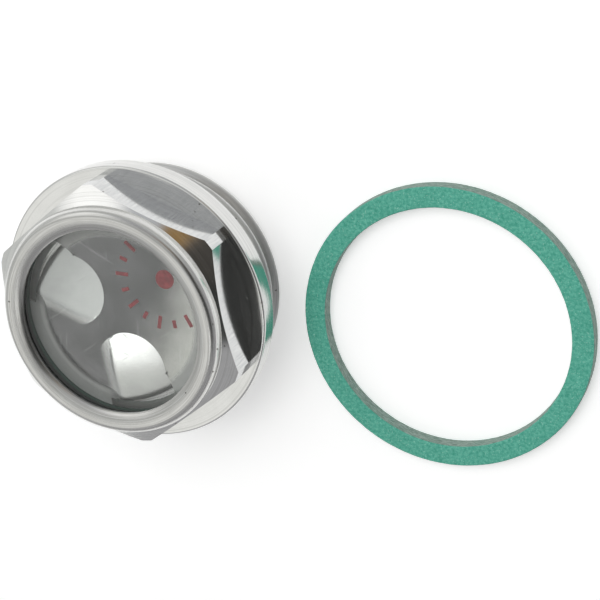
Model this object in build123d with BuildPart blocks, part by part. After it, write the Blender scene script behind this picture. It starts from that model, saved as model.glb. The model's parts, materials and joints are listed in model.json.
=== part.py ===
# Tank level gauge: a turned aluminium plug with a glass window held by a rolled rim, a polished
# reflector behind the glass, and the flat ring that seals the plug's collar on the tank.
# Millimetres. +Z points out of the tank, through the window. The origin is on the thread's axis,
# in the plane of the collar's underside, which is the face that seals.

import os
from math import cos, radians, sin, tan

from build123d import *

# thread and spigot (G 1 pipe thread, left plain at its major diameter)
threadDiameter = 33.249
spigotLength = 9.05
spigotChamfer = 1.0
boreDiameter = 25.2
boreChamfer = 0.5

# collar and hexagon
collarDiameter = 38.5
collarThickness = 3.0
collarChamfer = 0.3
hexAcrossFlats = 32.0
hexCornerDiameter = 36.1
hexHeight = 5.45
hexChamferAngle = 30.0

# rolled rim round the window
rimDiameter = 31.4
rimHeight = 1.75
rimShoulder = 1.1
windowDiameter = 25.6
lipThickness = 0.35
lipDrop = 0.55

# what the rim holds, from the glass down to the seat
glassDiameter = 28.6
glassThickness = 3.0
glassEdge = 0.25
gasketInnerDiameter = 25.2
gasketThickness = 0.8
reflectorDiameter = 28.4
sheetThickness = 0.5
pocketClearance = 0.1

# the two tongues cut in the reflector and bent back to let the oil in
tongueRadius = 5.1
tongueCentre = 7.6
tongueSpacing = 120.0
mouthWidth = 13.0
tongueKerf = 0.12
bendOffset = 4.2
bendRadius = 3.5
bendAngle = 17.0
tongueClearance = 0.35
markAngle = 30.0

# sealing ring, taken off and laid flat beside the plug
ringOuterDiameter = 39.2
ringInnerDiameter = 33.4
ringThickness = 2.0
ringGap = 1.5
ringAngle = -13.0

# radii and heights that follow from the sizes above
threadRadius = threadDiameter / 2
boreRadius = boreDiameter / 2
collarRadius = collarDiameter / 2
hexCornerRadius = hexCornerDiameter / 2
rimRadius = rimDiameter / 2
windowRadius = windowDiameter / 2
pocketRadius = glassDiameter / 2 + pocketClearance
reflectorRadius = reflectorDiameter / 2

coneSlope = tan(radians(hexChamferAngle))
hexTop = collarThickness + hexHeight
coneFoot = hexTop - (hexCornerRadius - hexAcrossFlats / 2) * coneSlope
rimBase = hexTop + (hexAcrossFlats / 2 - rimRadius) * coneSlope
rimTop = rimBase + rimHeight
lipEdge = rimTop - lipDrop
glassTop = lipEdge - lipThickness
gasketTop = glassTop - glassThickness
reflectorTop = gasketTop - gasketThickness
seatHeight = reflectorTop - sheetThickness


# body: turned from hexagon bar, with its rim rolled over the glass
with BuildPart() as body:
    with BuildSketch(Plane.XY):
        RegularPolygon(hexAcrossFlats / 2, 6, major_radius=False, rotation=30)
    extrude(amount=rimBase)
    # the lathe rounds the hexagon's corners and turns its front to a cone
    with BuildSketch(Plane.XZ):
        with BuildLine():
            Polyline(
                (0, 0),
                (hexCornerRadius, 0),
                (hexCornerRadius, coneFoot),
                (rimRadius, rimBase),
                (0, rimBase),
                close=True,
            )
        make_face()
    revolve(axis=Axis.Z, mode=Mode.INTERSECT)

    # spigot, collar and rim in one turned profile
    with BuildSketch(Plane.XZ):
        with BuildLine():
            turned = Polyline(
                (0, lipEdge),
                (0, -spigotLength),
                (threadRadius - spigotChamfer, -spigotLength),
                (threadRadius, spigotChamfer - spigotLength),
                (threadRadius, 0),
                (collarRadius - collarChamfer, 0),
                (collarRadius, collarChamfer),
                (collarRadius, collarThickness - collarChamfer),
                (collarRadius - collarChamfer, collarThickness),
                (rimRadius, collarThickness),
                (rimRadius, rimTop - rimShoulder),
            )
            shoulder = JernArc(turned @ 1, (0, 1), rimShoulder, 90)
            # the rolled metal falls in a shallow curve to the thin edge round the window
            fall = TangentArc(shoulder @ 1, (windowRadius, lipEdge), tangent=shoulder % 1)
            Line(fall @ 1, turned @ 0)
        make_face()
    revolve(axis=Axis.Z)

    # bore, seat, the pocket that holds the glass, and the window
    with BuildSketch(Plane.XZ):
        with BuildLine():
            Polyline(
                (0, -spigotLength),
                (boreRadius + boreChamfer, -spigotLength),
                (boreRadius, boreChamfer - spigotLength),
                (boreRadius, seatHeight),
                (pocketRadius, seatHeight),
                (pocketRadius, glassTop),
                (windowRadius, glassTop),
                (windowRadius, rimTop),
                (0, rimTop),
                close=True,
            )
        make_face()
    revolve(axis=Axis.Z, mode=Mode.SUBTRACT)
body.part.label = "body"


# sight glass: a thick disc with its edges ground off
with BuildPart() as sightGlass:
    with BuildSketch(Plane.XY.offset(gasketTop)):
        Circle(glassDiameter / 2)
    extrude(amount=glassThickness)
    chamfer(sightGlass.edges(), glassEdge)
sightGlass.part.label = "sight_glass"


# glass gasket: the flat ring that the glass is pressed down on
with BuildPart() as glassGasket:
    with BuildSketch(Plane.XY.offset(reflectorTop)):
        Circle(glassDiameter / 2)
        Circle(gasketInnerDiameter / 2, mode=Mode.SUBTRACT)
    extrude(amount=gasketThickness)
glassGasket.part.label = "glass_gasket"


# The reflector's printed mark lies on markPlane's X. Each tongue points along its own X, and its
# root is on the side away from the mark, at bendOffset from the tongue's middle line.
markPlane = Plane.XY.offset(reflectorTop).rotated((0, 0, markAngle))
tonguePlane = markPlane.rotated((0, 0, tongueSpacing))
bendPlane = Plane(tonguePlane.origin, x_dir=tonguePlane.y_dir, z_dir=tonguePlane.x_dir)

# outline of the tongue's hole: a circle with a mouth that widens to the disc's edge
with BuildSketch() as tongueOutline:
    with Locations((tongueCentre, 0)):
        Circle(tongueRadius)
    with BuildLine():
        Polyline(
            (tongueCentre, -tongueRadius),
            (reflectorRadius + sheetThickness, -mouthWidth / 2),
            (reflectorRadius + sheetThickness, mouthWidth / 2),
            (tongueCentre, tongueRadius),
            close=True,
        )
    make_face()

# tongue: a strip bent down from its root, trimmed to the outline less the width of the cut
with BuildPart() as tongue:
    with BuildSketch(bendPlane):
        with BuildLine():
            root = Line((mouthWidth, 0), (bendOffset, 0))
            bend = JernArc(root @ 1, (-1, 0), bendRadius, bendAngle)
            Line(bend @ 1, bend @ 1 + (bend % 1) * (mouthWidth + tongueRadius))
            offset(amount=sheetThickness, side=Side.LEFT)
        make_face()
    extrude(amount=boreRadius)
    with BuildSketch(tonguePlane.offset(-reflectorTop)):
        add(tongueOutline.sketch)
        offset(amount=-tongueKerf)
        Circle(boreRadius - tongueClearance, mode=Mode.INTERSECT)
    extrude(amount=reflectorTop, mode=Mode.INTERSECT)

# reflector: a polished sheet disc, one half made with its tongue and then mirrored
with BuildPart() as reflector:
    with BuildSketch(markPlane):
        Circle(reflectorRadius)
    extrude(amount=-sheetThickness)
    with BuildSketch(tonguePlane):
        add(tongueOutline.sketch)
        with Locations((0, bendOffset)):
            Rectangle(
                reflectorDiameter + mouthWidth, mouthWidth, align=(Align.CENTER, Align.MIN), mode=Mode.SUBTRACT
            )
    extrude(amount=-sheetThickness, mode=Mode.SUBTRACT)
    add(tongue.part)
    mirrorPlane = Plane(markPlane.origin, x_dir=markPlane.x_dir, z_dir=markPlane.y_dir)
    split(bisect_by=mirrorPlane, keep=Keep.TOP)
    mirror(about=mirrorPlane)
reflector.part.label = "reflector"


# sealing ring: a plain flat ring
with BuildPart() as sealingRing:
    ringDistance = collarRadius + ringGap + ringOuterDiameter / 2
    ringCentre = (ringDistance * cos(radians(ringAngle)), ringDistance * sin(radians(ringAngle)))
    with BuildSketch(Plane.XY.offset(-spigotLength)):
        with Locations(ringCentre):
            Circle(ringOuterDiameter / 2)
            Circle(ringInnerDiameter / 2, mode=Mode.SUBTRACT)
    extrude(amount=ringThickness)
sealingRing.part.label = "sealing_ring"


os.makedirs("parts", exist_ok=True)
export_step(body.part, "parts/body.step")
export_step(sightGlass.part, "parts/sight_glass.step")
export_step(glassGasket.part, "parts/glass_gasket.step")
export_step(reflector.part, "parts/reflector.step")
export_step(sealingRing.part, "parts/sealing_ring.step")
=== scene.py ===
import json
import math

import bmesh
import bpy
from mathutils import Euler, Matrix, Quaternion, Vector, noise
from mathutils.geometry import delaunay_2d_cdt

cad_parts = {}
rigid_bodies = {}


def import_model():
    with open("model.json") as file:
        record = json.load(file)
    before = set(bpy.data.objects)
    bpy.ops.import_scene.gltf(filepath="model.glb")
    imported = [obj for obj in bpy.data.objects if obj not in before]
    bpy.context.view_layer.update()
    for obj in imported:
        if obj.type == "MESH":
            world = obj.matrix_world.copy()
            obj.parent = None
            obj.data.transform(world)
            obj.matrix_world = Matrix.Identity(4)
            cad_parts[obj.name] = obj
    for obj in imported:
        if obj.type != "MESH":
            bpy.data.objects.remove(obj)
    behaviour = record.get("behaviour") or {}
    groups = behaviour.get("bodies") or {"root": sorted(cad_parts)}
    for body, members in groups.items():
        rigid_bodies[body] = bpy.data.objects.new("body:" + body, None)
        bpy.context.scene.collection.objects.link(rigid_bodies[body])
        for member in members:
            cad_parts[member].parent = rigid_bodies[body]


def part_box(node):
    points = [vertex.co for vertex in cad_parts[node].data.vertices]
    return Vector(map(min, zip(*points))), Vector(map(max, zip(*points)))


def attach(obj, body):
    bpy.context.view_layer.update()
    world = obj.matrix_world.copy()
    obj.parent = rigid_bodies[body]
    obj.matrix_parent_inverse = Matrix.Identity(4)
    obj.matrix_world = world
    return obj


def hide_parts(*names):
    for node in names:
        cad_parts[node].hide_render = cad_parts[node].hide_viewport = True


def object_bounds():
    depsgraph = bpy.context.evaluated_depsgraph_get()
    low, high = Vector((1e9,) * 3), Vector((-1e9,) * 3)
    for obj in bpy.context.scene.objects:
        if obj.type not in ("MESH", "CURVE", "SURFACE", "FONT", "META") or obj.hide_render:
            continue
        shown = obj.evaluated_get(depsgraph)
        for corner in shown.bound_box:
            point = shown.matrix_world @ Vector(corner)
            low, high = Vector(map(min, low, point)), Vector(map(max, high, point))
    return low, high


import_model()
cadLow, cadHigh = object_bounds()

mm = 0.001  # sizes below are in millimetres, meshes are in metres


class Wire:
    # one output socket, shader or geometry; arithmetic on it adds Math nodes
    def __init__(self, graph, socket):
        self.graph = graph
        self.socket = socket

    def math(self, operation, *values, clamp=False):
        return self.graph.math(operation, self, *values, clamp=clamp)

    def __add__(self, other):
        return self.math("ADD", other)

    def __radd__(self, other):
        return self.graph.math("ADD", other, self)

    def __sub__(self, other):
        return self.math("SUBTRACT", other)

    def __rsub__(self, other):
        return self.graph.math("SUBTRACT", other, self)

    def __mul__(self, other):
        return self.math("MULTIPLY", other)

    def __rmul__(self, other):
        return self.graph.math("MULTIPLY", other, self)

    def __truediv__(self, other):
        return self.math("DIVIDE", other)

    def __rtruediv__(self, other):
        return self.graph.math("DIVIDE", other, self)

    def __gt__(self, other):
        return self.math("GREATER_THAN", other)

    def __lt__(self, other):
        return self.math("LESS_THAN", other)

    def clamped(self):
        return self.math("ADD", 0, clamp=True)


class Placed:
    # a node in its tree; placed["Name"] is one of its outputs
    def __init__(self, graph, node):
        self.graph = graph
        self.node = node

    def __getitem__(self, key):
        return Wire(self.graph, self.graph.find(self.node.outputs, key))


class Graph:
    # a node tree that is added to; settings are a node's own choices, values go to its inputs
    def __init__(self, tree):
        self.tree = tree

    def find(self, sockets, key):
        # by place, by identifier or by name; a Mix node's sockets share their names
        if isinstance(key, int):
            return sockets[key]
        for socket in sockets:
            if socket.identifier == key:
                return socket
        return sockets[key]

    def add(self, kind, settings=None, values=None):
        node = self.tree.nodes.new(kind)
        for name, value in (settings or {}).items():
            setattr(node, name, value)
        for name, value in (values or {}).items():
            socket = self.find(node.inputs, name)
            if isinstance(value, Wire):
                self.tree.links.new(value.socket, socket)
            elif socket.type == "RGBA" and len(value) == 3:
                socket.default_value = (*value, 1)
            else:
                socket.default_value = value
        return Placed(self, node)

    def math(self, operation, *values, clamp=False):
        settings = {"operation": operation, "use_clamp": clamp}
        return self.add("ShaderNodeMath", settings, dict(enumerate(values)))[0]

    def vector(self, operation, *values):
        return self.add("ShaderNodeVectorMath", {"operation": operation}, dict(enumerate(values)))

    def combine(self, x=0.0, y=0.0, z=0.0):
        return self.add("ShaderNodeCombineXYZ", {}, {"X": x, "Y": y, "Z": z})["Vector"]

    def separate(self, vector):
        return self.add("ShaderNodeSeparateXYZ", {}, {"Vector": vector})

    def normal(self):
        return self.add("ShaderNodeNewGeometry")["Normal"]

    def smooth(self, value, start, end, low=0.0, high=1.0):
        # low before start, high after end, and an eased step between them
        return self.add(
            "ShaderNodeMapRange",
            {"interpolation_type": "SMOOTHSTEP"},
            {"Value": value, "From Min": start, "From Max": end, "To Min": low, "To Max": high},
        )["Result"]

    def blend(self, factor, a, b):
        return self.add(
            "ShaderNodeMix",
            {"data_type": "RGBA"},
            {"Factor_Float": factor, "A_Color": a, "B_Color": b},
        )["Result_Color"]


def newMaterial(name):
    material = bpy.data.materials.new(name)
    material.use_nodes = True
    material.node_tree.nodes.clear()
    graph = Graph(material.node_tree)
    place = graph.add("ShaderNodeTexCoord")["Object"]
    sizes = (1 / mm, 1 / mm, 1 / mm)
    scaled = graph.add("ShaderNodeMapping", {}, {"Vector": place, "Scale": sizes})["Vector"]
    return material, graph, scaled  # scaled: the place on the piece, in millimetres


def principled(graph, values):
    return graph.add("ShaderNodeBsdfPrincipled", {}, values)["BSDF"]


def finishMaterial(graph, shader):
    graph.add("ShaderNodeOutputMaterial", {}, {"Surface": shader})


def grain(graph, place, scale, detail, roughness=0.5):
    values = {"Vector": place, "Scale": scale, "Detail": detail, "Roughness": roughness}
    return graph.add("ShaderNodeTexNoise", {}, values)["Fac"]


def bumped(graph, height, strength, distance, normal=None):
    values = {"Height": height, "Strength": strength, "Distance": distance * mm}
    if normal:
        values["Normal"] = normal
    return graph.add("ShaderNodeBump", {}, values)["Normal"]


aluminiumLook = {
    "colour": (0.86, 0.86, 0.845),
    "dull": (0.70, 0.70, 0.68),
    "ridge": (0.50, 0.50, 0.48),
    "rolled": (0.36, 0.35, 0.33),  # the rolled rim is duller than the turned faces, and painted shade darkens it further towards its inner fall
    "edge": (0.52, 0.52, 0.51),  # the collar's edge and the thread
    "drawn": (0.50, 0.51, 0.52),  # the hexagon's walls keep the drawn bar's skin
    "root": (0.40, 0.40, 0.39),  # painted shade darkening the thread's roots
    "pit": (0.10, 0.09, 0.08),
    "roughness": 0.13,
    "satin": 0.12,  # roughness added on the rim
    "threadDull": 0.28,  # roughness added on the thread
    "pocketDull": 0.5,  # roughness added inside the pocket
    "crown": 0.08,  # how far the normals of the hexagon's walls are tipped up
    "marks": 0.05,
}

# where the body's finish changes: heights above the collar's underside and radii, both in millimetres
finishZones = {
    "rimFrom": 8.55,
    "rimFull": 8.75,
    "hexTop": 8.45,
    "hexFoot": 3.02,
    "hexInside": 15,
    "collarTop": 2.98,
    "collarInside": 14.5,
    "pocketFrom": 5.1,
    "pocketTo": 9.5,
    "pocketRadius": 14.5,
    "lipFrom": 14.3,
    "lipFull": 13.2,
    "threadTop": -0.2,
    "rootTop": -0.4,
    "rootFrom": 16.2,
    "rootFull": 15.3,
}


def turnedAluminium():
    look = aluminiumLook
    zone = finishZones
    material, graph, place = newMaterial("turnedAluminium")
    parts = graph.separate(place)
    x, y, z = parts["X"], parts["Y"], parts["Z"]
    radius = graph.math("SQRT", x * x + y * y)
    turn = graph.math("ARCTAN2", y, x)
    # the lathe's marks run round the axis, so the pattern is fine across them and long along them
    around = graph.combine(radius * 9, z * 9, turn * 1.5)
    fine = grain(graph, around, 1.0, 3, 0.65)
    coarse = grain(graph, around, 0.22, 2, 0.5)
    ridges = grain(graph, around, 0.45, 2, 0.6)
    clouds = grain(graph, place, 0.35, 4, 0.6)
    drawnLines = grain(graph, graph.combine(turn * 110, z * 0.25), 1.0, 3, 0.6)
    turnedLines = grain(graph, graph.combine(z * 5, turn * 0.8), 1.0, 3, 0.7)
    cells = {"Vector": place, "Scale": 0.55, "Randomness": 1}
    spots = graph.add("ShaderNodeTexVoronoi", {"feature": "F1"}, cells)
    pit = graph.smooth(spots["Distance"], 0.05, 0.10, 1, 0) * (clouds > 0.5)

    # masks for the parts of the body
    normal = graph.normal()
    upright = graph.separate(normal)["Z"].math("ABSOLUTE")
    rim = graph.smooth(z, zone["rimFrom"], zone["rimFull"])
    wall = (z > zone["hexFoot"]) * (z < zone["hexTop"]) * (upright < 0.3) * (radius > zone["hexInside"])
    side = (z < zone["collarTop"]) * (upright < 0.95) * (radius > zone["collarInside"])
    pocket = (z > zone["pocketFrom"]) * (z < zone["pocketTo"]) * (radius < zone["pocketRadius"])
    # painted shade: the thread's roots are darkened in the colour, where shade falls
    root = side * graph.smooth(radius, zone["rootFrom"], zone["rootFull"]) * (z < zone["rootTop"])

    tone = graph.blend(graph.smooth(clouds, 0.3, 0.8, 0, 0.35), look["colour"], look["dull"])
    tone = graph.blend(graph.smooth(ridges, 0.45, 0.7, 0, 0.3) * (1 - wall), tone, look["ridge"])
    # painted shade: the rim darkens towards the window's edge, on top of its duller mottled finish
    fallShade = graph.smooth(radius, zone["lipFrom"], zone["lipFull"])
    rolled = rim * (0.32 + (fine - 0.5) * 1.3 + fallShade * 0.1)
    tone = graph.blend(rolled.clamped(), tone, look["rolled"])
    tone = graph.blend(side * graph.smooth(turnedLines, 0.3, 0.75, 0.12, 0.75), tone, look["edge"])
    tone = graph.blend(wall * graph.smooth(drawnLines, 0.25, 0.8, 0.25, 0.85), tone, look["drawn"])
    tone = graph.blend(root * 0.6, tone, look["root"])
    tone = graph.blend(pit * 0.75, tone, look["pit"])

    rough = look["roughness"] + rim * look["satin"] + pit * 0.3
    rough = rough + (1 - wall) * ((fine - 0.5) * 0.14 + (coarse - 0.5) * 0.10)
    rough = rough + wall * ((drawnLines - 0.5) * 0.12) + pocket * look["pocketDull"]
    rough = rough + side * (z < zone["threadTop"]) * look["threadDull"]

    latheMarks = (fine - 0.5) + (coarse - 0.5) * 0.8 + (ridges - 0.5) * 1.5
    height = latheMarks * (1 - wall) + wall * (drawnLines - 0.5) * 0.8 - pit
    # the walls' normals are tipped up a little, so they mirror past the collar near their front edge
    lift = graph.combine(z=wall * look["crown"])
    crowned = graph.vector("NORMALIZE", graph.vector("ADD", normal, lift)["Vector"])["Vector"]
    values = {
        "Base Color": tone,
        "Metallic": 1.0,
        "Roughness": rough.math("MAXIMUM", 0.04),
        "Normal": bumped(graph, height, look["marks"], 0.05, crowned),
    }
    finishMaterial(graph, principled(graph, values))
    return material


glassLook = {
    "colour": (0.97, 0.985, 0.975),
    "shadow": (0.95, 0.97, 0.96),
    "smear": 0.03,  # roughness where it is smeared
    "ior": 1.5,
}


def clearGlass():
    look = glassLook
    material, graph, place = newMaterial("clearGlass")
    smear = grain(graph, place, 0.25, 4, 0.6)
    values = {
        "Base Color": look["colour"],
        "Roughness": graph.smooth(smear, 0.5, 0.8, 0.0, look["smear"]),
        "IOR": look["ior"],
        "Transmission Weight": 1.0,
    }
    glass = principled(graph, values)
    # light passes straight through it, so what lies behind it isn't in full shadow
    clear = graph.add("ShaderNodeBsdfTransparent", {}, {"Color": look["shadow"]})["BSDF"]
    shadowRay = graph.add("ShaderNodeLightPath")["Is Shadow Ray"]
    mixed = graph.add("ShaderNodeMixShader", {}, {"Fac": shadowRay, 1: glass, 2: clear})["Shader"]
    finishMaterial(graph, mixed)
    return material


gasketLook = {
    "dark": (0.006, 0.036, 0.024),
    "light": (0.018, 0.078, 0.055),
    "pressed": (0.003, 0.009, 0.007),  # painted shade: the face that the glass is pressed on is painted near black
}


def greenGasket():
    look = gasketLook
    material, graph, place = newMaterial("greenGasket")
    speckle = grain(graph, place, 3.0, 4, 0.7)
    facing = graph.separate(graph.normal())["Z"]
    tone = graph.blend(graph.smooth(speckle, 0.3, 0.75), look["dark"], look["light"])
    # painted shade: the upward face is darkened to near black
    tone = graph.blend(graph.smooth(facing, 0.4, 0.7), tone, look["pressed"])
    values = {
        "Base Color": tone,
        "Roughness": 0.45 + speckle * 0.2,
        "Normal": bumped(graph, speckle, 0.3, 0.05),
    }
    finishMaterial(graph, principled(graph, values))
    return material


sheetLook = {
    "dull": (0.125, 0.125, 0.128),
    "bright": (0.66, 0.66, 0.625),
    "tongue": (0.92, 0.92, 0.91),
    "tongueEnd": (0.72, 0.72, 0.71),
    "border": (0.42, 0.42, 0.41),  # unpolished where the gasket clamps the sheet
    "cloud": (0.42, 0.40, 0.43),
    "hairline": (0.70, 0.70, 0.70),
    "dullTo": 2.0,  # millimetres across the sheet
    "brightFrom": 13.5,
    "roughness": 0.13,
    "hairlines": ((25, 9.0), (-38, 12.0), (78, 8.0), (140, 14.0)),  # degrees, and how far drawn out
}


def reflectorSheet():
    look = sheetLook
    material, graph, place = newMaterial("reflectorSheet")
    clouds = grain(graph, place, 0.20, 3, 0.55)
    fine = grain(graph, place, 1.6, 3, 0.6)
    scratch = 0
    for number, (angle, stretch) in enumerate(look["hairlines"]):
        # thin hairlines: noise drawn out along one direction for each set
        lie = graph.add(
            "ShaderNodeMapping",
            {"vector_type": "TEXTURE"},
            {
                "Vector": place,
                "Location": (3.1 * number, 1.7, 0),
                "Rotation": Euler((0, 0, math.radians(angle))),
                "Scale": (stretch, 0.5, 1),
            },
        )["Vector"]
        lines = grain(graph, lie, 1.3, 1, 0.5)
        scratch = scratch + graph.smooth(lines, 0.70, 0.78)
    scratch = scratch.clamped()
    parts = graph.separate(place)
    # the sheet's tone runs from dark on one side to light on the other
    across = parts["X"] * 0.86 - parts["Y"] * 0.5 + (clouds - 0.5) * 6
    sideToSide = graph.smooth(across, look["dullTo"], look["brightFrom"])
    tone = graph.blend(sideToSide, look["dull"], look["bright"])
    pressed = graph.add("ShaderNodeAttribute", {"attribute_name": "pressed"})["Fac"]
    away = graph.vector("LENGTH", place)["Value"]
    border = graph.smooth(away, 12.0, 12.9) * (1 - pressed)
    outwards = graph.smooth(away, 7.5, 13)
    tone = graph.blend(pressed, tone, graph.blend(outwards, look["tongue"], look["tongueEnd"]))
    tone = graph.blend(border, tone, look["border"])
    tone = graph.blend(graph.smooth(clouds, 0.35, 0.7, 0, 0.18), tone, look["cloud"])
    tone = graph.blend(scratch * 0.16, tone, look["hairline"])
    rough = look["roughness"] + (clouds - 0.5) * 0.06 + (fine - 0.5) * 0.04 + scratch * 0.12
    values = {
        "Base Color": tone,
        "Metallic": 1 - border * 0.85,
        "Roughness": rough.math("MAXIMUM", 0.03),
        "Normal": bumped(graph, scratch * 0.2 + clouds, 0.04, 0.05),
    }
    finishMaterial(graph, principled(graph, values))
    return material


printLook = {"dark": (0.24, 0.022, 0.028), "light": (0.42, 0.055, 0.065)}


def redPrint():
    look = printLook
    material, graph, place = newMaterial("redPrint")
    patchy = grain(graph, place, 2.2, 4, 0.6)
    tone = graph.blend(graph.smooth(patchy, 0.35, 0.7), look["dark"], look["light"])
    values = {
        "Base Color": tone,
        "Roughness": 0.35 + patchy * 0.2,
        "Normal": bumped(graph, patchy, 0.2, 0.02),
    }
    finishMaterial(graph, principled(graph, values))
    return material


ringLook = {
    "dark": (0.045, 0.335, 0.240),
    "light": (0.150, 0.530, 0.405),
    "fleck": (0.38, 0.68, 0.58),
    "cloud": (0.03, 0.26, 0.18),
    "cutDark": (0.055, 0.135, 0.105),  # its cut edges show the fibres
    "cutLight": (0.36, 0.44, 0.39),
}


def ringFibre():
    look = ringLook
    material, graph, place = newMaterial("ringFibre")
    facing = graph.separate(graph.normal())["Z"]
    top = graph.smooth(facing.math("ABSOLUTE"), 0.55, 0.8)
    speckle = grain(graph, place, 2.4, 5, 0.7)
    clouds = grain(graph, place, 0.5, 3, 0.6)
    flecks = graph.smooth(grain(graph, place, 5.0, 2, 0.5), 0.62, 0.70)
    layers = graph.add("ShaderNodeMapping", {}, {"Vector": place, "Scale": (0.9, 0.9, 7.0)})["Vector"]
    strands = grain(graph, layers, 1.6, 4, 0.7)
    face = graph.blend(graph.smooth(speckle, 0.3, 0.7), look["dark"], look["light"])
    face = graph.blend(flecks * 0.6, face, look["fleck"])
    side = graph.blend(graph.smooth(strands, 0.3, 0.7), look["cutDark"], look["cutLight"])
    tone = graph.blend(top, side, face)
    tone = graph.blend(graph.smooth(clouds, 0.45, 0.75, 0, 0.2), tone, look["cloud"])
    values = {
        "Base Color": tone,
        "Roughness": 0.55 + speckle * 0.25,
        "Normal": bumped(graph, speckle * top + strands * (1 - top), 0.45, 0.12),
    }
    finishMaterial(graph, principled(graph, values))
    return material


aluminium = turnedAluminium()
glassMaterial = clearGlass()
gasketMaterial = greenGasket()
sheetMaterial = reflectorSheet()
printMaterial = redPrint()
ringMaterial = ringFibre()
print("materials made")


def meshObject(name, points, faces, edges=()):
    mesh = bpy.data.meshes.new(name)
    mesh.from_pydata([tuple(p) for p in points], list(edges), faces)
    piece = bpy.data.objects.new(name, mesh)
    bpy.context.scene.collection.objects.link(piece)
    return piece


def plain(piece):
    # the evaluated result as an ordinary mesh, with the modifiers removed
    evaluated = piece.evaluated_get(bpy.context.evaluated_depsgraph_get())
    mesh = bpy.data.meshes.new_from_object(evaluated)
    piece.modifiers.clear()
    piece.data = mesh
    mesh.name = piece.name


def outward(piece):
    # merges doubles and turns every face outwards
    shape = bmesh.new()
    shape.from_mesh(piece.data)
    bmesh.ops.remove_doubles(shape, verts=shape.verts, dist=1e-7)
    bmesh.ops.recalc_face_normals(shape, faces=shape.faces)
    if shape.calc_volume(signed=True) < 0:
        bmesh.ops.reverse_faces(shape, faces=shape.faces)
    shape.to_mesh(piece.data)
    shape.free()


def newTree(name, inputs):
    # a Geometry Nodes tree with one named input for each value
    tree = bpy.data.node_groups.new(name, "GeometryNodeTree")
    tree.interface.new_socket("Geometry", in_out="INPUT", socket_type="NodeSocketGeometry")
    identifiers = {}
    for label, value in inputs.items():
        kind = "NodeSocketInt" if isinstance(value, int) else "NodeSocketFloat"
        identifiers[label] = tree.interface.new_socket(label, in_out="INPUT", socket_type=kind).identifier
    tree.interface.new_socket("Geometry", in_out="OUTPUT", socket_type="NodeSocketGeometry")
    graph = Graph(tree)
    return graph, graph.add("NodeGroupInput"), identifiers


def finishTree(graph, shape, material, piece, inputs, identifiers):
    # ends the tree, runs it on the piece and keeps the result as the piece's mesh
    shape = graph.add("GeometryNodeRealizeInstances", {}, {"Geometry": shape})["Geometry"]
    shape = graph.add("GeometryNodeSetMaterial", {}, {"Geometry": shape, "Material": material})["Geometry"]
    graph.add("NodeGroupOutput", {}, {"Geometry": shape})
    modifier = piece.modifiers.new(graph.tree.name, "NODES")
    modifier.node_group = graph.tree
    for label, value in inputs.items():
        modifier[identifiers[label]] = value
    plain(piece)


def smoothed(piece, angle):
    for face in piece.data.polygons:
        face.use_smooth = True
    piece.data.set_sharp_from_angle(angle=math.radians(angle))


def rounded(corner, before, after, radius, steps=3):
    # the points of a fillet at a corner of a profile
    a = (Vector(before) - Vector(corner)).normalized()
    b = (Vector(after) - Vector(corner)).normalized()
    half = a.angle(b) / 2
    reach = radius / math.tan(half)
    centre = Vector(corner) + (a + b).normalized() * radius / math.sin(half)
    start = Vector(corner) + a * reach - centre
    end = Vector(corner) + b * reach - centre
    return [tuple(centre + start.slerp(end, i / steps).normalized() * radius) for i in range(steps + 1)]


def filleted(corners, radii):
    points = []
    count = len(corners)
    for i, corner in enumerate(corners):
        radius = radii[i]
        if radius:
            points += rounded(corner, corners[i - 1], corners[(i + 1) % count], radius)
        else:
            points.append(corner)
    return points


# body: one turned profile, drawn as rows that the tree below carries round the axis
bodySizes = {
    "threadDiameter": 33.249,
    "pitch": 2.309,
    "threadDepth": 0.64,  # share of the pitch
    "threadStart": 0.42,  # turns
    "spigotLength": 9.05,
    "runOutFrom": -0.5,  # the thread fades in between these heights
    "runOutTo": -1.5,
    "spigotRows": 100,
    "endBevel": 0.35,  # the thread runs nearly to the end
    "boreDiameter": 25.2,
    "boreBevel": 0.5,
    "collarDiameter": 38.5,
    "collarThickness": 3.0,
    "collarEdge": 0.3,
    "acrossFlats": 32.0,
    "cornerDiameter": 36.1,
    "hexTop": 8.45,
    "chamferSlope": math.tan(math.radians(30)),
    "rimDiameter": 31.4,
    "rimHeight": 1.75,
    "rimShoulder": 1.1,
    "windowDiameter": 25.6,
    "lipThickness": 0.35,
    "lipDrop": 0.55,
    "lipRound": 0.09,  # radius of the lip's thin edge
    "lipFoot": 0.1,  # the rounding starts this far below the lip's edge
    "pocketDiameter": 28.8,
    "seatHeight": 5.173,
    "steps": 360,
}


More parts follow.
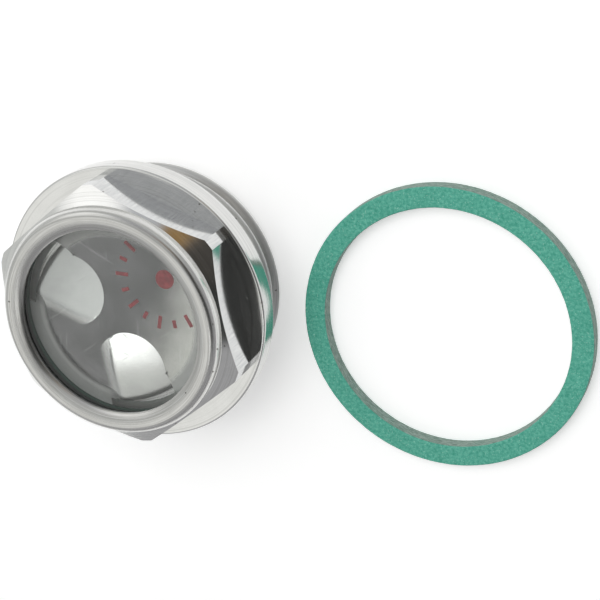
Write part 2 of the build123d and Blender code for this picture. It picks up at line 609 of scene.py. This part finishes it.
def bodyRows():
    # the bare radii and heights are rows on straight stretches, which only keep the faces even
    s = bodySizes
    rows = []

    def row(r, z, shareR=0.0, shareZ=0.0, threaded=0.0):
        # shareR and shareZ are added once per millimetre of the hexagon's radius at that turn
        rows.append((r, z, shareR, shareZ, threaded))

    rim = s["rimDiameter"] / 2
    window = s["windowDiameter"] / 2
    slope = s["chamferSlope"]
    rimBase = s["hexTop"] + (s["acrossFlats"] / 2 - rim) * slope
    rimTop = rimBase + s["rimHeight"]
    lipEdge = rimTop - s["lipDrop"]
    glassTop = lipEdge - s["lipThickness"]
    collar = s["collarDiameter"] / 2
    front = s["collarThickness"]
    edge = s["collarEdge"]
    bore = s["boreDiameter"] / 2
    bevel = s["boreBevel"]
    seat = s["seatHeight"]
    pocket = s["pocketDiameter"] / 2
    major = s["threadDiameter"] / 2
    end = -s["spigotLength"]

    # the rolled lip, from under the window's edge over the shoulder and down the rim
    curl, foot = s["lipRound"], lipEdge - s["lipFoot"]
    row(window, glassTop)
    row(window, foot)
    for i in range(4):
        turn = math.radians(30 * i + 15)
        row(window + curl * (1 - math.cos(turn)), foot + curl * math.sin(turn))
    run = rim - s["rimShoulder"] - window
    bend = (run * run + s["lipDrop"] ** 2) / (2 * s["lipDrop"])
    sweep = math.asin(run / bend)
    fallSteps = 14
    for i in range(1, fallSteps + 1):
        turn = sweep * (1 - i / fallSteps)
        row(window + run - bend * math.sin(turn), rimTop - bend * (1 - math.cos(turn)))
    shoulder = s["rimShoulder"]
    shoulderSteps = 16
    for i in range(1, shoulderSteps + 1):
        turn = math.pi / 2 * i / shoulderSteps
        row(rim - shoulder * (1 - math.sin(turn)), rimTop - shoulder * (1 - math.cos(turn)))
    for z in (9.0, 8.85, rimBase + 0.12, rimBase + 0.04):
        row(rim, z)
    # the front cone, from the rim's foot out to the hexagon's edge
    for t in (0.02, 0.06, 0.15, 0.35, 0.65, 0.88, 0.96, 0.99):
        row(rim * (1 - t), rimBase + slope * rim * t, t, -slope * t)
    # the hexagon's walls: the edge follows the cone, so it dips towards each corner
    for t in (0.0, 0.006, 0.02, 0.08, 0.3, 0.6, 0.9, 0.98, 1.0):
        row(0, (1 - t) * (rimBase + slope * rim) + t * front, 1, -(1 - t) * slope)
    # the collar's front face, edge and underside
    for t in (0.02, 0.1, 0.4, 0.8, 0.97):
        row(t * (collar - edge), front, 1 - t, 0)
    for i in range(7):
        turn = math.radians(15 * i)
        row(collar - edge * (1 - math.sin(turn)), front - edge * (1 - math.cos(turn)))
    for z in (2.62, 2.0, 1.0, 0.38):
        row(collar, z)
    for i in range(7):
        turn = math.radians(15 * i)
        row(collar - edge * (1 - math.cos(turn)), edge * (1 - math.sin(turn)))
    for r in (18.9, 18.0, 17.2, major + 0.06, major):
        row(r, 0)
    # the spigot, with rows close enough for the thread, and its end bevel
    straight = s["spigotLength"] - s["endBevel"]
    for i in range(1, s["spigotRows"] + 1):
        row(major, -straight * i / s["spigotRows"], threaded=1)
    bevelSteps = 8
    for i in range(1, bevelSteps + 1):
        t = i / bevelSteps * s["endBevel"]
        row(major - t, -straight - t, threaded=1)
    # the end face, the bore, the seat and the pocket
    for r in (15.05, 14.2, bore + bevel + 0.06, bore + bevel):
        row(r, end)
    for z in (end + bevel, -8.4, -4.0, 0.0, 4.0, seat - 0.1, seat):
        row(bore, z)
    row(pocket, seat)
    row(pocket, glassTop)
    row(window, glassTop)
    return rows


def makeBody():
    s = bodySizes
    rows = bodyRows()
    profile = [(r, 0, z) for r, z, *rest in rows]
    body = meshObject("gaugeBody", profile, [], [(i, i + 1) for i in range(len(rows) - 1)])
    body.data.attributes.new("hexShare", "FLOAT_VECTOR", "POINT")
    body.data.attributes.new("threaded", "FLOAT", "POINT")
    share, threaded = body.data.attributes["hexShare"], body.data.attributes["threaded"]
    for i, (r, z, shareR, shareZ, cut) in enumerate(rows):
        share.data[i].vector = (shareR, 0, shareZ)
        threaded.data[i].value = cut

    inputs = {
        "Rows": len(rows),
        "Steps": s["steps"],
        "Across Flats": s["acrossFlats"],
        "Corner Diameter": s["cornerDiameter"],
        "Thread Diameter": s["threadDiameter"],
        "Pitch": s["pitch"],
        "Thread Depth": s["threadDepth"] * s["pitch"],
        "Thread Start": s["threadStart"],
        "Run Out From": s["runOutFrom"],
        "Run Out To": s["runOutTo"],
    }
    graph, given, identifiers = newTree("turnedBody", inputs)

    # a grid to wrap: one way round the axis, the other along the profile
    grid = graph.add(
        "GeometryNodeMeshGrid",
        {},
        {"Size X": 1, "Size Y": 1, "Vertices X": given["Steps"] + 1, "Vertices Y": given["Rows"]},
    )["Mesh"]
    position = graph.add("GeometryNodeInputPosition")["Position"]
    flat = graph.separate(position)
    turn = (flat["X"] + 0.5) * 360
    index = ((flat["Y"] + 0.5) * (given["Rows"] - 1)).math("ROUND")

    def fromProfile(value, kind):
        # the value at the profile's point for this row of the grid
        return graph.add(
            "GeometryNodeSampleIndex",
            {"data_type": kind, "domain": "POINT"},
            {"Geometry": given["Geometry"], 1: value, "Index": index},
        )["Value"]

    def attribute(name, kind):
        return graph.add("GeometryNodeInputNamedAttribute", {"data_type": kind}, {"Name": name})["Attribute"]

    # how far round from the middle of the nearest flat, stretched so that the corner's ends fall on a step
    halfSide = 30  # degrees
    cornerStep = 27  # the step, of that many, where a flat ends and the turned corner begins
    apothem = given["Across Flats"] / 2
    corner = given["Corner Diameter"] / 2
    away = turn.math("PINGPONG", halfSide)
    flatEnd = (apothem / corner).math("ARCCOSINE") * (180 / math.pi)
    onFlat = (away * flatEnd / cornerStep).math("MINIMUM", flatEnd)
    onCorner = (away - cornerStep).math("MAXIMUM", 0) * (halfSide - flatEnd) / (halfSide - cornerStep)
    awayTrue = onFlat + onCorner
    rising = (turn.math("FLOORED_MODULO", 2 * halfSide) < halfSide) * 2 - 1
    angle = (turn + rising * (awayTrue - away)) * (math.pi / 180)
    hexRadius = (apothem / (awayTrue * (math.pi / 180)).math("COSINE")).math("MINIMUM", corner)

    hexShare = fromProfile(attribute("hexShare", "FLOAT_VECTOR"), "FLOAT_VECTOR")
    scaled = {"Vector": hexShare, "Scale": hexRadius}
    hexagon = graph.add("ShaderNodeVectorMath", {"operation": "SCALE"}, scaled)["Vector"]
    placed = graph.separate(graph.vector("ADD", fromProfile(position, "FLOAT_VECTOR"), hexagon)["Vector"])
    radius, height = placed["X"], placed["Z"]

    # the thread: a triangle wave eased top and bottom, which gives the pipe thread's rounded form
    wave = (height / given["Pitch"] - turn / 360 + given["Thread Start"]).math("PINGPONG", 0.5) * 2
    eased = graph.smooth(wave, 0, 1)
    runOut = graph.smooth(height, given["Run Out From"], given["Run Out To"])
    limit = given["Thread Diameter"] / 2 - eased * runOut * given["Thread Depth"]
    cut = fromProfile(attribute("threaded", "FLOAT"), "FLOAT")
    radius = radius - cut * (radius - limit).math("MAXIMUM", 0)

    wrapped = graph.combine(radius * angle.math("COSINE") * mm, radius * angle.math("SINE") * mm, height * mm)
    shape = graph.add("GeometryNodeSetPosition", {}, {"Geometry": grid, "Position": wrapped})["Geometry"]
    shape = graph.add("GeometryNodeMergeByDistance", {}, {"Geometry": shape, "Distance": 1e-7})["Geometry"]
    finishTree(graph, shape, aluminium, body, inputs, identifiers)
    outward(body)
    smoothed(body, 24)
    return body


gaugeBody = makeBody()
print("body:", len(gaugeBody.data.polygons), "faces")


def turned(name, profile, steps, material, centre=(0, 0)):
    # a ring turned from a closed profile of radii and heights
    points = []
    faces = []
    count = len(profile)
    for i in range(steps):
        turn = 2 * math.pi * i / steps
        for r, z in profile:
            x, y = centre[0] + r * math.cos(turn), centre[1] + r * math.sin(turn)
            points.append((x * mm, y * mm, z * mm))
        following = (i + 1) % steps
        for k in range(count):
            other = (k + 1) % count
            faces.append((i * count + k, following * count + k, following * count + other, i * count + other))
    piece = meshObject(name, points, faces)
    piece.data.materials.append(material)
    return piece


glassSizes = {"diameter": 28.6, "thickness": 3.0, "top": 9.473, "edge": 0.22, "steps": 180}


def makeGlass():
    s = glassSizes
    r, top, low, edge = s["diameter"] / 2, s["top"], s["top"] - s["thickness"], s["edge"]
    side = filleted([(0.0, top), (r, top), (r, low), (0.0, low)], [0, edge, edge, 0])
    nearEdge = r - 0.6
    profile = [(r * 0.5, top), (nearEdge, top)] + side[1:-1] + [(nearEdge, low), (r * 0.5, low)]
    points = []
    faces = []
    steps = s["steps"]
    for i in range(steps):
        turn = 2 * math.pi * i / steps
        points += [(a * math.cos(turn) * mm, a * math.sin(turn) * mm, b * mm) for a, b in profile]
    topPole, lowPole = len(points), len(points) + 1
    points += [(0, 0, top * mm), (0, 0, low * mm)]
    count = len(profile)
    for i in range(steps):
        a, b = i * count, (i + 1) % steps * count
        faces += [(a + k, a + k + 1, b + k + 1, b + k) for k in range(count - 1)]
        faces += [(topPole, a, b), (lowPole, b + count - 1, a + count - 1)]
    glass = meshObject("sightGlass", points, faces)
    glass.data.materials.append(glassMaterial)
    outward(glass)
    smoothed(glass, 40)
    return glass


sightGlass = makeGlass()
print("glass made")


# reflector: one sheet outline with its two tongues still joined along their bends, then bent by rule
sheetSizes = {
    "diameter": 28.4,
    "top": 5.673,
    "thickness": 0.5,
    "tongueRadius": 5.1,
    "tongueCentre": 7.6,
    "spacing": 120,
    "mouth": 13.0,
    "kerf": 0.12,
    "bendOffset": 4.2,
    "bendRadius": 7.5,  # gentler than the CAD's 3.5, which would show as a crease
    "bendAngle": 17,
    "reach": 12.5,
    "scoop": 60.0,  # radius of the tongues' slight hollow
    "scoopMiddle": (8.0, -0.5),
    "scoopLevel": 12.0,  # square of the distance from there at which it is level with the plain tongue
    "scoopFrom": 2.0,  # it eases in over this distance from the bend
    "pressedOver": 1.8,  # the tongues' brighter finish comes in over this distance
    "droop": 0.05,  # the disc's edges at the cuts are drawn down a little
    "droopWidth": 0.3,
    "markAngle": 30,
    "spacingOfPoints": 0.42,
    "endOverlap": 0.6,  # how far past the circle's middle each straight cut begins
}


def slotPath():
    # the cut round one tongue, in the tongue's own plane: in along the tongue, back along the hole
    s = sheetSizes
    disc = s["diameter"] / 2
    centre, radius, bend, reach = s["tongueCentre"], s["tongueRadius"], s["bendOffset"], s["reach"]
    straightFrom = centre + s["endOverlap"]
    lean = math.atan2(s["mouth"] / 2 - radius, disc + s["thickness"] - centre)  # the mouth's widening
    small = radius - s["kerf"]

    def alongArc(middle, r, start, end, count):
        turns = [start + (end - start) * i / count for i in range(count + 1)]
        return [(middle + r * math.cos(turn), r * math.sin(turn)) for turn in turns]

    def onLine(r, u):
        return (u, -(r + (u - centre) * math.tan(lean)))

    def lineMeets(r, limit):
        u = centre
        stride = 0.01
        while math.hypot(*onLine(r, u)) < limit:
            u += stride
        return u

    holeStart = math.pi - math.asin(bend / radius)
    holeEnd = math.pi * 3 / 2 + lean
    tongueStart = math.pi - math.asin(bend / small)
    mouthU = lineMeets(small, reach)
    low = math.atan2(onLine(small, mouthU)[1], mouthU)
    high = math.asin(bend / reach)
    endSteps, circleSteps, tongueSteps, holeSteps = 40, 60, 12, 14
    endArc = alongArc(0, reach, high, low, endSteps)
    tongueU = [mouthU + (straightFrom - mouthU) * i / tongueSteps for i in range(1, tongueSteps + 1)]
    tongueLine = [onLine(small, u) for u in tongueU]
    tongueArc = alongArc(centre, small, holeEnd, tongueStart, circleSteps)
    holeArc = alongArc(centre, radius, holeStart, holeEnd, circleSteps)
    rimU = lineMeets(radius, disc)
    holeU = [straightFrom + (rimU - straightFrom) * i / holeSteps for i in range(1, holeSteps + 1)]
    holeLine = [onLine(radius, u) for u in holeU]
    return endArc + tongueLine + tongueArc, holeArc + holeLine


def inside(point, outline):
    # whether a ray from the point crosses the outline an odd number of times
    x, y = point
    hit = False
    for (ax, ay), (bx, by) in zip(outline, outline[1:] + outline[:1]):
        if (ay > y) != (by > y) and x < ax + (y - ay) / (by - ay) * (bx - ax):
            hit = not hit
    return hit


def onSheet(point, mirrored=False):
    # from a tongue's own plane to the sheet, where the mark lies on X and one tongue mirrors the other
    turn = math.radians(sheetSizes["spacing"])
    u, v = point
    x, y = u * math.cos(turn) - v * math.sin(turn), u * math.sin(turn) + v * math.cos(turn)
    return (x, -y) if mirrored else (x, y)


def sheetOutline(tongue, hole):
    # the closed outline, and for each of its points 0 on the disc, 1 or 2 on a tongue
    s = sheetSizes
    disc = s["diameter"] / 2
    bendStart = (math.sqrt(disc**2 - s["bendOffset"] ** 2), s["bendOffset"])
    cut = [bendStart] + tongue + hole  # from the rim on the far side of the mark to the rim near it
    first = [onSheet(p) for p in cut]
    second = [onSheet(p, True) for p in cut]
    arcStep = math.radians(1.6)

    def rimArc(start, end):
        a, b = math.atan2(start[1], start[0]), math.atan2(end[1], end[0])
        while b > a:
            b -= 2 * math.pi
        count = max(2, round((a - b) / arcStep))
        turns = [a + (b - a) * i / count for i in range(1, count)]
        return [(disc * math.cos(turn), disc * math.sin(turn)) for turn in turns]

    byMark = rimArc(first[-1], second[-1])
    opposite = rimArc(second[0], first[0])
    outline = first + byMark + second[::-1] + opposite
    kinds = [0] + [1] * len(tongue) + [0] * (len(hole) + len(byMark) + len(hole))
    kinds += [2] * len(tongue) + [0] * (1 + len(opposite))
    return outline, kinds


def innerPoints(outline):
    # an even grid inside the outline, so that the sheet can bend and shade smoothly
    s = sheetSizes
    disc = s["diameter"] / 2
    step = s["spacingOfPoints"]
    rowShare = 0.866  # height of a triangle of the grid, whose side is 1
    fromRim, fromCut = 0.3 * step, 0.35 * step
    rowsUp = int(disc / (step * rowShare)) + 1
    columns = int(disc / step) + 1
    points = []
    for j in range(-rowsUp, rowsUp + 1):
        for i in range(-columns, columns + 1):
            p = ((i + 0.5 * (j % 2)) * step, j * step * rowShare)
            if math.hypot(*p) > disc - fromRim or not inside(p, outline):
                continue
            if min((p[0] - q[0]) ** 2 + (p[1] - q[1]) ** 2 for q in outline) < fromCut**2:
                continue
            points.append(p)
    # rows of points along the bend, so that it starts on one straight line
    rowStart, rowLength, rowSteps = 5.1, 6.2, 21
    sine = math.sin(math.radians(s["bendAngle"]))
    for mirrored in (False, True):
        for share in (0.0, 0.25, 0.5, 0.75, 1.0):
            v = s["bendOffset"] - share * s["bendRadius"] * sine
            for i in range(rowSteps + 1):
                p = onSheet((rowStart + rowLength * i / rowSteps, v), mirrored)
                if inside(p, outline):
                    points.append(p)
    return points


def tongueDrop(u, v):
    # how deep a tongue lies under the sheet: its bend, the straight part past it and the hollow
    s = sheetSizes
    radius, angle = s["bendRadius"], math.radians(s["bendAngle"])
    tangent = radius * math.sin(angle)
    fall = s["bendOffset"] - v
    if fall <= 0:
        return 0
    if fall < tangent:
        drop = radius - math.sqrt(radius**2 - fall**2)
    else:
        drop = radius * (1 - math.cos(angle)) + (fall - tangent) * math.tan(angle)
    middleU, middleV = s["scoopMiddle"]
    ease = min(1, fall / s["scoopFrom"])
    ease = ease * ease * (3 - 2 * ease)
    hollow = (s["scoopLevel"] - (u - middleU) ** 2 - (v - middleV) ** 2) / (2 * s["scoop"])
    return drop + ease * hollow


def makeReflector():
    s = sheetSizes
    tongue, hole = slotPath()
    outline, kinds = sheetOutline(tongue, hole)
    count = len(outline)
    allPoints = [Vector(p) for p in outline + innerPoints(outline)]
    result = delaunay_2d_cdt(allPoints, [], [list(range(count))], 1, 1e-5)
    flat, faces, origin = result[0], result[2], result[3]

    tongues = [[onSheet(p, mirrored) for p in tongue] for mirrored in (False, True)]
    cutEdge = [onSheet(p, mirrored) for mirrored in (False, True) for p in hole[::2]]
    turn = math.radians(s["spacing"])
    mark = math.radians(s["markAngle"])
    solid = []
    pressed = []
    for number, p in enumerate(flat):
        source = [i for i in origin[number] if i < count]
        if source:
            kind = kinds[source[0]]
        else:
            kind = 1 if inside(p, tongues[0]) else 2 if inside(p, tongues[1]) else 0
        bright = 0
        if kind:
            y = -p.y if kind == 2 else p.y
            u, v = p.x * math.cos(turn) + y * math.sin(turn), -p.x * math.sin(turn) + y * math.cos(turn)
            drop = tongueDrop(u, v)
            bright = min(1, max(0, (s["bendOffset"] - v) / s["pressedOver"]))
        else:
            near = min(math.hypot(p.x - q[0], p.y - q[1]) for q in cutEdge)
            drop = s["droop"] * math.exp(-((near / s["droopWidth"]) ** 2))
        x, y = p.x * math.cos(mark) - p.y * math.sin(mark), p.x * math.sin(mark) + p.y * math.cos(mark)
        solid.append((x * mm, y * mm, (s["top"] - drop) * mm))
        pressed.append(bright)

    piece = meshObject("reflectorSheet", solid, [tuple(f) for f in faces])
    mask = piece.data.attributes.new("pressed", "FLOAT", "POINT")
    for number, value in enumerate(pressed):
        mask.data[number].value = value
    shape = bmesh.new()
    shape.from_mesh(piece.data)
    bmesh.ops.recalc_face_normals(shape, faces=shape.faces)
    if sum(f.normal.z for f in shape.faces) < 0:
        bmesh.ops.reverse_faces(shape, faces=shape.faces)
    shape.to_mesh(piece.data)
    shape.free()
    piece.data.materials.append(sheetMaterial)
    thick = piece.modifiers.new("thickness", "SOLIDIFY")
    thick.thickness = s["thickness"] * mm
    thick.offset = -1
    plain(piece)
    smoothed(piece, 40)
    return piece


reflector = makeReflector()
print("reflector:", len(reflector.data.polygons), "faces")


# printed mark: a dot with short ticks round it, lying on the reflector
printSizes = {
    "dotRadius": 1.3,
    "dotDistance": 9.3,
    "ticks": 9,
    "tickRadius": 6.2,
    "tickLength": 1.8,
    "tickWidth": 0.5,
    "shorter": 0.4,  # every second tick is shorter by this share
    "firstTick": 100,  # degrees
    "lastTick": 260,
    "film": 0.03,
    "clearance": 0.005,
}


def makePrint():
    s = printSizes
    base = meshObject("printedMark", [(0, 0, 0)], [])
    inputs = {
        "Dot Radius": s["dotRadius"] * mm,
        "Ticks": s["ticks"],
        "Tick Radius": s["tickRadius"] * mm,
        "Tick Length": s["tickLength"] * mm,
        "Tick Width": s["tickWidth"] * mm,
        "Film": s["film"] * mm,
    }
    graph, given, identifiers = newTree("printedMark", inputs)
    dot = graph.add(
        "GeometryNodeMeshCylinder",
        {"fill_type": "NGON"},
        {"Vertices": 48, "Radius": given["Dot Radius"], "Depth": given["Film"]},
    )["Mesh"]
    start, sweep = math.radians(s["firstTick"]), math.radians(s["lastTick"] - s["firstTick"])
    sizes = {"Resolution": given["Ticks"], "Radius": given["Tick Radius"]}
    angles = {"Start Angle": start, "Sweep Angle": sweep}
    arc = graph.add("GeometryNodeCurveArc", {"mode": "RADIUS"}, {**sizes, **angles})["Curve"]
    spots = graph.add("GeometryNodeCurveToPoints", {"mode": "EVALUATED"}, {"Curve": arc})["Points"]
    number = graph.add("GeometryNodeInputIndex")["Index"]
    facing = number / (given["Ticks"] - 1) * sweep + start
    length = number.math("MODULO", 2) * -s["shorter"] + 1
    size = graph.combine(given["Tick Length"], given["Tick Width"], given["Film"])
    tick = graph.add("GeometryNodeMeshCube", {}, {"Size": size})["Mesh"]
    ticks = graph.add(
        "GeometryNodeInstanceOnPoints",
        {},
        {
            "Points": spots,
            "Instance": tick,
            "Rotation": graph.combine(z=facing),
            "Scale": graph.combine(length, 1.0, 1.0),
        },
    )["Instances"]
    both = graph.add("GeometryNodeJoinGeometry")
    for shape in (dot, ticks):
        graph.tree.links.new(shape.socket, both.node.inputs[0])
    finishTree(graph, both["Geometry"], printMaterial, base, inputs, identifiers)
    mark = math.radians(sheetSizes["markAngle"])
    height = sheetSizes["top"] + s["film"] / 2 + s["clearance"]
    spot = Matrix.Rotation(mark, 4, "Z") @ Matrix.Translation((s["dotDistance"] * mm, 0, height * mm))
    base.data.transform(spot)
    outward(base)
    return base


printedMark = makePrint()
print("printed mark:", len(printedMark.data.polygons), "faces")


def ringProfile(inner, outer, bottom, top, edge):
    corners = [(inner, top), (outer, top), (outer, bottom), (inner, bottom)]
    return filleted(corners, [edge] * len(corners))


gasketSizes = {"outer": 28.6, "inner": 26.9, "thickness": 0.8, "edge": 0.12, "steps": 180}


def makeGasket():
    # squeezed outwards between the glass and the reflector, so little of it shows inside the rim
    s = gasketSizes
    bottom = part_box("glass_gasket")[0].z / mm
    profile = ringProfile(s["inner"] / 2, s["outer"] / 2, bottom, bottom + s["thickness"], s["edge"])
    gasket = turned("glassGasket", profile, s["steps"], gasketMaterial)
    outward(gasket)
    smoothed(gasket, 50)
    return gasket


glassGasket = makeGasket()
print("gasket made")


# sealing ring: punched from fibre sheet, so its edges are a little soft and uneven
ringSizes = {
    "outer": 39.2,
    "inner": 33.4,
    "edge": 0.16,
    "faceLength": 0.35,
    "steps": 420,
    "wander": 0.05,  # about how far the edges stray inwards
    "wanderScale": 0.9,
    "wanderOver": 2,  # full at this distance from the ring's middle line, and none on it
}


def makeRing():
    s = ringSizes
    low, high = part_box("sealing_ring")
    centre = ((low + high) / 2) / mm
    inner, outer = s["inner"] / 2, s["outer"] / 2
    profile = ringProfile(inner, outer, low.z / mm, high.z / mm, s["edge"])
    full = []
    for i, a in enumerate(profile):
        b = profile[(i + 1) % len(profile)]
        pieces = max(1, round(math.dist(a, b) / s["faceLength"]))
        rise = (b[0] - a[0], b[1] - a[1])
        full += [(a[0] + rise[0] * k / pieces, a[1] + rise[1] * k / pieces) for k in range(pieces)]
    ring = turned("sealingRing", full, s["steps"], ringMaterial, (centre.x, centre.y))
    middle = (inner + outer) / 2
    for vertex in ring.data.vertices:
        p = vertex.co / mm
        offset = Vector((p.x - centre.x, p.y - centre.y, 0))
        side = offset.length - middle
        rough = noise.fractal(p * s["wanderScale"], 1.0, 2.0, 3) * s["wander"]
        inwards = -abs(rough) * (1 if side > 0 else -1) * min(1, abs(side) / s["wanderOver"])
        vertex.co += offset.normalized() * inwards * mm
    outward(ring)
    smoothed(ring, 50)
    return ring


sealingRing = makeRing()
print("sealing ring:", len(sealingRing.data.polygons), "faces")

# nothing moves, so every piece rides on the root
for piece, node, slot in (
    (gaugeBody, "body", "polished_aluminium"),
    (sightGlass, "sight_glass", "glass"),
    (glassGasket, "glass_gasket", "gasket_green"),
    (reflector, "reflector", "reflector_sheet"),
    (sealingRing, "sealing_ring", "ring_fibre"),
):
    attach(piece, "root")
    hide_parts(node)
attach(printedMark, "root")


# places in the surroundings are an azimuth and an elevation in degrees
studio = {
    "low": (0.36, 0.36, 0.37),
    "high": (0.60, 0.61, 0.60),
    "brightSide": (125, 10),
    "floorReach": 3.0,  # metres
    "floorDark": (0.86, 0.86, 0.86),
    "floorLight": (0.90, 0.90, 0.90),
    "floorGlow": 0.34,
    "lampPower": 1.1,  # watts
    "lampSize": 0.35,
    "lampPlace": (75, 62),
    "lampDistance": 0.5,
}


def makeFloor():
    low = cadLow.z
    reach = studio["floorReach"]
    corners = [(-reach, -reach, low), (reach, -reach, low), (reach, reach, low), (-reach, reach, low)]
    floor = meshObject("floor", corners, [(0, 1, 2, 3)])
    material, graph, place = newMaterial("paleFloor")
    tone = grain(graph, place, 0.02, 2)
    values = {
        "Base Color": graph.blend(tone, studio["floorDark"], studio["floorLight"]),
        "Roughness": 0.8,
        "Emission Color": (1, 1, 1),
        "Emission Strength": studio["floorGlow"],
    }
    finishMaterial(graph, principled(graph, values))
    floor.data.materials.append(material)


def towards(azimuth, elevation):
    a, e = math.radians(azimuth), math.radians(elevation)
    return Vector((math.cos(a) * math.cos(e), math.sin(a) * math.cos(e), math.sin(e)))


def makeWorld():
    s = studio
    world = bpy.data.worlds.new("studio")
    bpy.context.scene.world = world
    world.use_nodes = True
    world.node_tree.nodes.clear()
    graph = Graph(world.node_tree)
    direction = graph.add("ShaderNodeTexCoord")["Generated"]

    def patch(azimuth, elevation, inner, outer):
        # 1 within inner degrees of a place in the surroundings, easing to 0 at outer degrees
        along = graph.vector("DOT_PRODUCT", direction, towards(azimuth, elevation))["Value"]
        return graph.smooth(along, math.cos(math.radians(outer)), math.cos(math.radians(inner)))

    def panel(azimuth, elevation, turn, width, height, soft):
        # the same for a flat rectangle, such as a soft box; its sides are shares of its distance
        axis = towards(azimuth, elevation)
        side = Vector((0, 0, 1)).cross(axis).normalized()
        side.rotate(Quaternion(axis, math.radians(turn)))
        rise = axis.cross(side)
        ahead = graph.vector("DOT_PRODUCT", direction, axis)["Value"]
        u = graph.vector("DOT_PRODUCT", direction, side)["Value"] / ahead
        v = graph.vector("DOT_PRODUCT", direction, rise)["Value"] / ahead
        inU = graph.smooth(u.math("ABSOLUTE"), width / 2 + soft, width / 2)
        inV = graph.smooth(v.math("ABSOLUTE"), height / 2 + soft, height / 2)
        return inU * inV * (ahead > 0)

    around = graph.vector("DOT_PRODUCT", direction, towards(*s["brightSide"]))["Value"]
    light = graph.blend(graph.smooth(around, -0.7, 0.8), s["low"], s["high"])
    # cards round the object, which its metal mirrors
    for mask, colour in (
        (patch(-152, 50, 8, 24), (0.84, 0.84, 0.82)),
        (patch(92, 48, 12, 27), (0.47, 0.48, 0.50)),
        (patch(132, 42, 6, 24), (1.15, 1.15, 1.14)),
        (patch(-18, 65, 15, 27), (0.035, 0.036, 0.035)),
        (patch(25, 60, 6, 18), (0.06, 0.055, 0.05)),
        (patch(60, 61, 2, 10), (0.28, 0.17, 0.06)),
        (patch(-34, 50, 7, 17), (0.045, 0.046, 0.045)),
        (patch(-84, 73, 5, 11), (0.66, 0.66, 0.64)),
        (panel(-92, 65, 0, 0.36, 0.09, 0.06), (1.70, 1.70, 1.68)),
        (patch(-109, 66, 2, 5), (0.08, 0.08, 0.08)),
        (patch(-70, 57, 3, 8), (0.10, 0.10, 0.10)),
    ):
        light = graph.blend(mask, light, colour)
    background = graph.add("ShaderNodeBackground", {}, {"Color": light, "Strength": 1.0})["Background"]
    graph.add("ShaderNodeOutputWorld", {}, {"Surface": background})


def makeLamp():
    s = studio
    lamp = bpy.data.lights.new("softLamp", "AREA")
    lamp.energy = s["lampPower"]
    lamp.size = s["lampSize"]
    hung = bpy.data.objects.new("softLamp", lamp)
    bpy.context.scene.collection.objects.link(hung)
    above = towards(*s["lampPlace"])
    hung.location = above * s["lampDistance"]
    hung.rotation_mode = "QUATERNION"
    hung.rotation_quaternion = (-above).to_track_quat("-Z", "Y")
    hung.visible_glossy = hung.visible_transmission = False  # the metal mirrors only the surroundings


# angles in degrees, distance and aim in millimetres like the part's sizes
camera = {
    "azimuth": 35.88,
    "elevation": 57.89,
    "distance": 206.1,
    "aim": (20.66, -1.35, 0.0),
    "roll": -132.83,
    "lens": 95.3,
    "sensor": 36,
    "shift": (0.0285, 0.0),
}


def makeCamera():
    s = camera
    data = bpy.data.cameras.new("camera")
    data.sensor_width = s["sensor"]
    data.lens = s["lens"]
    data.shift_x, data.shift_y = s["shift"]
    data.clip_start, data.clip_end = 0.01, 10
    seen = bpy.data.objects.new("camera", data)
    bpy.context.scene.collection.objects.link(seen)
    back = towards(s["azimuth"], s["elevation"])
    upright = (-back).to_track_quat("-Z", "Y")
    seen.rotation_mode = "QUATERNION"
    seen.rotation_quaternion = upright @ Quaternion((0, 0, 1), math.radians(s["roll"]))
    seen.location = (Vector(s["aim"]) + back * s["distance"]) * mm
    bpy.context.scene.camera = seen


makeFloor()
makeWorld()
makeLamp()
makeCamera()
bpy.context.scene.view_settings.view_transform = "Standard"
print("studio ready")
